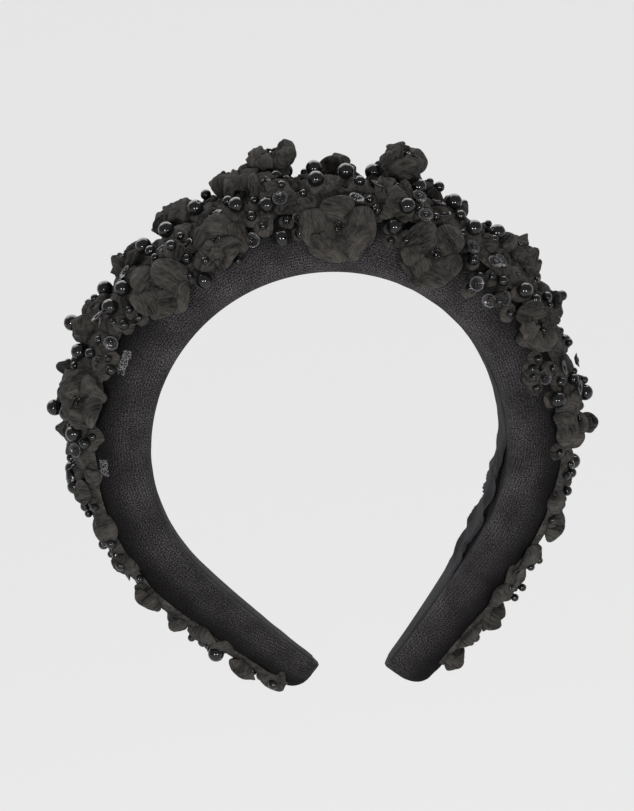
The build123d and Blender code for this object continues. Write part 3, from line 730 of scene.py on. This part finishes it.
def strew(name, shape, frames, faces, material, uv=None):
    """One mesh holding a copy of the shape in each frame of centre and axes."""
    flat = shape.reshape(-1, 3)
    centres = np.array([centre for centre, _ in frames])
    turns = np.array([axes for _, axes in frames])
    points = centres[:, None, :] + np.einsum("pk,fjk->fpj", flat, turns)
    steps = (np.arange(len(frames)) * len(flat))[:, None, None]
    cloth = None if uv is None else np.tile(uv.reshape(-1, 2), (len(frames), 1))
    return make_piece(name, points, (faces[None] + steps).reshape(-1, 4), material, cloth)


bead_detail = {"large": (20, 26), "medium": (14, 18), "small": (10, 12)}
for name in sorted(cad_nodes):
    kind = name.split("_")[0]
    if kind not in bead_detail:
        continue
    rings, spokes = bead_detail[kind]
    frames = []
    for corners in loose_parts(name):
        centre = (corners.max(0) + corners.min(0)) / 2.0
        foot, out, along = outward_at(centre)
        tilt = chance.normal(0, 0.5, 3)
        frames.append((centre, tidy_axes(out + tilt * 0.5, along + tilt)))
        radius = np.ptp(corners, axis=0).max() / 2.0
    shape = bead_points(radius, radius * 0.17, rings, spokes)
    faces = grid_faces(len(shape), spokes, close_columns=True)[:, ::-1]
    group = strew(name + "_glossy", shape, frames, faces, bead_black)
    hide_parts(name)


def ring_points(ring, tube, rings=9, sides=6):
    """Small torus: a circle of radius tube carried round a circle of radius ring."""
    a = np.linspace(0, 2 * np.pi, rings + 1)[:, None]
    b = np.linspace(0, 2 * np.pi, sides, endpoint=False)[None, :]
    out = ring + tube * np.cos(b)
    return np.stack(np.broadcast_arrays(out * np.cos(a), out * np.sin(a), tube * np.sin(b)), -1)


seed_shape = ring_points(0.00060, 0.00042)
seed_faces = grid_faces(*seed_shape.shape[:2], close_columns=True)[:, ::-1]
seed_frames = []
for centre, axes, thick in flower_spots:
    for turn in np.arange(3) * 2.1 + chance.uniform(0, 2):
        spot = centre + axes @ np.array([0.0014 * np.cos(turn), 0.0014 * np.sin(turn), thick * 0.58])
        seed_frames.append((spot, tidy_axes(axes[:, 2] + chance.normal(0, 0.4, 3), axes[:, 0])))

# ---------------------------------------------------------------------------
# Cup sequins: thin pearly grey discs pressed into a shallow faceted cup, each
# held by a seed bead over its middle hole.
# ---------------------------------------------------------------------------
sequin_film, sequin_shader = new_material(
    "pearly_sequin", (0.22, 0.21, 0.215), 0.26, Alpha=0.80, IOR=1.45, Coat_Weight=0.2, Coat_Roughness=0.15
)
film_tree = sequin_film.node_tree
film_place = film_tree.nodes.new("ShaderNodeTexCoord")
film_parts = film_tree.nodes.new("ShaderNodeSeparateXYZ")
film_speckle = add_node(film_tree, "ShaderNodeTexNoise", Scale=900.0, Detail=3.0, Roughness=0.6)
film_colour = film_tree.nodes.new("ShaderNodeMix")
film_colour.data_type = "RGBA"
film_colour.inputs["A"].default_value = (0.016, 0.015, 0.0165, 1.0)
film_colour.inputs["B"].default_value = (0.20, 0.19, 0.20, 1.0)
# Painted highlight: the cup's colour is lightened towards its rim, standing in for the light caught on the
# curved edge, and varied at random by the speckle.
painted_rim_highlight = add_node(
    film_tree, "ShaderNodeMapRange", From_Min=0.72, From_Max=1.02, To_Min=0.08, To_Max=0.72
)
rim_highlight_and_speckle = add_node(film_tree, "ShaderNodeMath")
rim_highlight_and_speckle.operation = "MULTIPLY"
film_bump = add_node(film_tree, "ShaderNodeBump", Strength=0.25, Distance=0.0002)
link(sequin_film, film_place.outputs["Object"], film_speckle.inputs["Vector"])
link(sequin_film, film_place.outputs["UV"], film_parts.inputs[0])
link(sequin_film, film_parts.outputs["X"], painted_rim_highlight.inputs["Value"])
film_shade = add_node(film_tree, "ShaderNodeMapRange", From_Min=0.3, From_Max=0.7, To_Min=0.3, To_Max=1.3)
link(sequin_film, film_speckle.outputs["Fac"], film_shade.inputs["Value"])
link(sequin_film, painted_rim_highlight.outputs[0], rim_highlight_and_speckle.inputs[0])
link(sequin_film, film_shade.outputs[0], rim_highlight_and_speckle.inputs[1])
link(sequin_film, rim_highlight_and_speckle.outputs[0], film_colour.inputs["Factor"])
link(sequin_film, film_colour.outputs["Result"], sequin_shader.inputs["Base Color"])
link(sequin_film, film_speckle.outputs["Fac"], film_bump.inputs["Height"])
link(sequin_film, film_bump.outputs["Normal"], sequin_shader.inputs["Normal"])


def cup_points(radius, facets=8, spokes=24):
    """Dish from the hole edge out to the rim and back on the outside, flattened into facets."""
    around = np.linspace(0, 2 * np.pi, spokes, endpoint=False)[None, :]
    facet = 1 - 0.05 * np.abs(np.sin(around * facets / 2.0))
    out = np.array([0.16, 0.42, 0.75, 1.0, 1.01, 0.76, 0.42, 0.16])[:, None] * radius
    height = np.array([-0.22, -0.20, 0.02, 0.22, 0.19, -0.03, -0.25, -0.27])[:, None] * radius
    lift = 1 + 0.25 * (facet - 1) * 8
    x, y = out * facet * np.cos(around), out * facet * np.sin(around)
    return np.stack(np.broadcast_arrays(x, y, height * lift), -1)


for side in ("left", "crown", "right"):
    name = f"cup_sequins_{side}"
    frames = []
    for corners in loose_parts(name):
        centre, axes = resting_frame(corners)
        radius = np.linalg.norm(corners - corners.mean(0), axis=1).max()
        lean = axes[:, 2] + chance.normal(0, 0.22, 3)
        frames.append((centre, tidy_axes(lean, axes[:, 0])))
        seed_frames.append((centre + axes[:, 2] * 0.00055, tidy_axes(lean, axes[:, 0])))
    shape = cup_points(radius)
    faces = grid_faces(*shape.shape[:2], close_columns=True)[:, ::-1]
    # The rim share goes in as UV so the shader can paint the rim highlight.
    rim_share = np.linalg.norm(shape[..., :2], axis=-1) / radius
    cups = strew(name + "_film", shape, frames, faces, sequin_film, np.stack([rim_share, rim_share], -1))
    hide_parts(name)

seeds = strew("seed_beads_glossy", seed_shape, seed_frames, seed_faces, bead_black)
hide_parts("seed_beads")

# ---------------------------------------------------------------------------
# Tulle patches: scraps of glittering silver net sewn flat over the velvet.
# ---------------------------------------------------------------------------
tulle, tulle_shader = new_material("silver_tulle", (0.32, 0.31, 0.31), 0.5, Metallic=0.2, Sheen_Weight=0.3)
tulle_tree = tulle.node_tree
tulle_place = tulle_tree.nodes.new("ShaderNodeTexCoord")
tulle_cell = add_node(tulle_tree, "ShaderNodeTexVoronoi", Scale=1.1)
tulle_cell.feature = "DISTANCE_TO_EDGE"
tulle_hole = add_node(
    tulle_tree, "ShaderNodeMapRange", From_Min=0.10, From_Max=0.24, To_Min=0.62, To_Max=0.04
)
tulle_glitter = add_node(tulle_tree, "ShaderNodeTexNoise", Scale=3.2, Detail=4.0)
tulle_colour = tulle_tree.nodes.new("ShaderNodeMix")
tulle_colour.data_type = "RGBA"
tulle_colour.inputs["A"].default_value = (0.03, 0.029, 0.03, 1.0)
tulle_colour.inputs["B"].default_value = (0.50, 0.49, 0.50, 1.0)
for texture in (tulle_cell, tulle_glitter):
    link(tulle, tulle_place.outputs["UV"], texture.inputs["Vector"])
link(tulle, tulle_cell.outputs["Distance"], tulle_hole.inputs["Value"])
tulle_middle = tulle_tree.nodes.new("ShaderNodeAttribute")
tulle_middle.attribute_name = "patch_middle"
tulle_tear = add_node(tulle_tree, "ShaderNodeTexNoise", Scale=0.55, Detail=4.0, Roughness=0.7)
tulle_left = add_node(tulle_tree, "ShaderNodeMath")
tulle_left.operation = "ADD"
tulle_whole = add_node(tulle_tree, "ShaderNodeMapRange", From_Min=0.98, From_Max=1.06)
tulle_alpha = add_node(tulle_tree, "ShaderNodeMath")
tulle_alpha.operation = "MULTIPLY"
tulle_spark = add_node(tulle_tree, "ShaderNodeMapRange", From_Min=0.50, From_Max=0.64)
link(tulle, tulle_place.outputs["UV"], tulle_tear.inputs["Vector"])
link(tulle, tulle_middle.outputs["Fac"], tulle_left.inputs[0])
link(tulle, tulle_tear.outputs["Fac"], tulle_left.inputs[1])
link(tulle, tulle_left.outputs[0], tulle_whole.inputs["Value"])
link(tulle, tulle_whole.outputs[0], tulle_alpha.inputs[0])
link(tulle, tulle_hole.outputs[0], tulle_alpha.inputs[1])
link(tulle, tulle_alpha.outputs[0], tulle_shader.inputs["Alpha"])
link(tulle, tulle_glitter.outputs["Fac"], tulle_spark.inputs["Value"])
link(tulle, tulle_spark.outputs[0], tulle_colour.inputs["Factor"])
link(tulle, tulle_colour.outputs["Result"], tulle_shader.inputs["Base Color"])
patch_plan = {
    "tulle_patch_side": (-0.0720, -0.0575, -80, -58, (0.011, 0.013)),
    "tulle_patch_arm": (-0.1020, -0.0920, -76, -50, (0.010, 0.010)),
}
patch_rows, patch_columns = 40, 36
for name, (start, end, turn_start, turn_end, cut) in patch_plan.items():
    patch_station = np.linspace(start, end, patch_rows)[:, None]
    patch_turn = np.radians(np.linspace(turn_start, turn_end, patch_columns))[None, :]
    fray = 1 + 0.04 * ripple(patch_turn * 30, 0.0, 77)
    middle_station = (start + end) / 2
    patch_station = middle_station + (patch_station - middle_station) * fray
    pucker = 0.0006 + 0.00025 * ripple(patch_station * 700, patch_turn * 12, 78)
    points, _ = pad_surface(patch_station, patch_turn, pucker)
    patch_uv = np.stack(np.broadcast_arrays(patch_station * 1000, patch_turn * 15), -1)
    patch_faces = grid_faces(patch_rows, patch_columns)[:, ::-1]
    patch = make_piece(name + "_net", points, patch_faces, tulle, patch_uv)
    from_ends = 1 - np.abs(np.linspace(-1, 1, patch_rows))
    from_sides = 1 - np.abs(np.linspace(-1, 1, patch_columns))
    from_edge = np.minimum.outer(from_ends, from_sides)
    middle = patch.data.attributes.new("patch_middle", "FLOAT", "POINT")
    middle.data.foreach_set("value", from_edge.ravel().astype(np.float32))
    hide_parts(name)

# ---------------------------------------------------------------------------
# Foam roll and spring core: sealed inside the cover, so plain but finished.
# ---------------------------------------------------------------------------
foam, foam_shader = new_material("open_foam", (0.5, 0.48, 0.45), 0.95)
dress_cloth(foam, foam_shader, (0.40, 0.38, 0.35), (0.58, 0.56, 0.52), 1800.0, 80.0, 0.0004)
cad_nodes["foam_pad"].data.materials.clear()
cad_nodes["foam_pad"].data.materials.append(foam)
spring, spring_shader = new_material("spring_plastic", (0.7, 0.69, 0.66), 0.35)
dress_cloth(spring, spring_shader, (0.62, 0.61, 0.58), (0.74, 0.73, 0.70), 500.0, 40.0, 0.0001)
cad_nodes["core_band"].data.materials.clear()
cad_nodes["core_band"].data.materials.append(spring)

# ---------------------------------------------------------------------------
# Stage: a pale sweep of paper, two small softboxes either side of the camera
# and one large one overhead.
# ---------------------------------------------------------------------------
paper, paper_shader = new_material("pale_paper", (0.04, 0.04, 0.04), 0.95)
paper_shader.inputs["Emission Color"].default_value = (1.0, 1.0, 1.0, 1.0)
paper_shader.inputs["Emission Strength"].default_value = 0.744
sweep_rows, sweep_columns = 60, 9
floor_share, curve_share = 0.4, 0.3
floor_front, floor_run, curve_radius, wall_run, sweep_half_width = -3.0, 4.0, 1.2, 3.0, 4.0
sweep_t = np.linspace(0, 1, sweep_rows)[:, None]
sweep_x = np.linspace(-sweep_half_width, sweep_half_width, sweep_columns)[None, :]
bend = np.clip((sweep_t - floor_share) / curve_share, 0, 1) * np.pi / 2
on_floor = sweep_t < floor_share
floor_level = cad_box[0][2] - 0.35
wall_share = np.clip(sweep_t - floor_share - curve_share, 0, 1) / curve_share
floor_y = floor_front + sweep_t / floor_share * floor_run
sweep_y = np.where(on_floor, floor_y, floor_front + floor_run + curve_radius * np.sin(bend))
sweep_z = floor_level + np.where(on_floor, 0, curve_radius * (1 - np.cos(bend))) + wall_share * wall_run
sweep_mesh = np.stack(np.broadcast_arrays(sweep_x, sweep_y, sweep_z), -1)
backdrop_mesh = bpy.data.meshes.new("paper_sweep")
sweep_faces = grid_faces(sweep_rows, sweep_columns).tolist()
backdrop_mesh.from_pydata(sweep_mesh.reshape(-1, 3).tolist(), [], sweep_faces)
backdrop_mesh.polygons.foreach_set("use_smooth", np.ones(len(backdrop_mesh.polygons), dtype=bool))
backdrop_mesh.materials.append(paper)
backdrop = bpy.data.objects.new("paper_sweep", backdrop_mesh)
bpy.context.scene.collection.objects.link(backdrop)

view_turn = np.radians(-4.0)
view_rise = np.radians(12.0)
view_roll = np.radians(8.0)
back_level = np.array([np.sin(view_turn), -np.cos(view_turn), 0.0])
back = back_level * np.cos(view_rise) + np.array([0.0, 0.0, np.sin(view_rise)])
level = np.array([np.cos(view_turn), np.sin(view_turn), 0.0])
upright = np.cross(back, level)
image_right = np.cos(view_roll) * level - np.sin(view_roll) * upright
image_up = np.sin(view_roll) * level + np.cos(view_roll) * upright


def soft_light(name, place, size, power, target=(0, 0, 0)):
    """Rectangular area light of a width and height at a place, facing the target."""
    lamp = bpy.data.lights.new(name, "AREA")
    lamp.shape = "RECTANGLE"
    lamp.size, lamp.size_y = size
    lamp.energy = power
    light = bpy.data.objects.new(name, lamp)
    bpy.context.scene.collection.objects.link(light)
    forward = np.array(place) - np.array(target)
    forward = forward / np.linalg.norm(forward)
    side = np.cross([0, 0, 1.0], forward) if abs(forward[2]) < 0.99 else np.array([1.0, 0, 0])
    side = side / np.linalg.norm(side)
    rise = np.cross(forward, side)
    matrix = np.eye(4)
    matrix[:3, 0], matrix[:3, 1], matrix[:3, 2], matrix[:3, 3] = side, rise, forward, place
    light.matrix_world = Matrix(matrix.tolist())
    return light


soft_light("left_softbox", back * 1.25 - image_right * 0.42 - image_up * 0.20, (0.16, 0.16), 6.5)
soft_light("right_softbox", back * 1.25 + image_right * 0.42 - image_up * 0.20, (0.16, 0.16), 6.5)
soft_light("overhead_softbox", np.array([0.0, 0.80, 1.15]), (2.2, 1.3), 26)
world = bpy.data.worlds.new("studio_air")
world.use_nodes = True
world.node_tree.nodes["Background"].inputs["Color"].default_value = (0.9, 0.92, 0.95, 1.0)
world.node_tree.nodes["Background"].inputs["Strength"].default_value = 0.30
bpy.context.scene.world = world
bpy.context.scene.view_settings.view_transform = "Standard"

rows_in_view = 811
row_height = 0.00037
image_height = rows_in_view * row_height
camera_distance = 1.3
aim = -image_right * 0.0036 + image_up * 0.0134
lens = bpy.data.cameras.new("studio_camera")
lens.sensor_fit = "VERTICAL"
sensor_height = 36.0
lens.sensor_height = sensor_height
lens.lens = sensor_height * camera_distance / image_height
lens.clip_end = 50.0
camera = bpy.data.objects.new("studio_camera", lens)
stand = np.eye(4)
stand[:3, 0], stand[:3, 1], stand[:3, 2] = image_right, image_up, back
stand[:3, 3] = aim + back * camera_distance
camera.matrix_world = Matrix(stand.tolist())
bpy.context.scene.collection.objects.link(camera)
bpy.context.scene.camera = camera
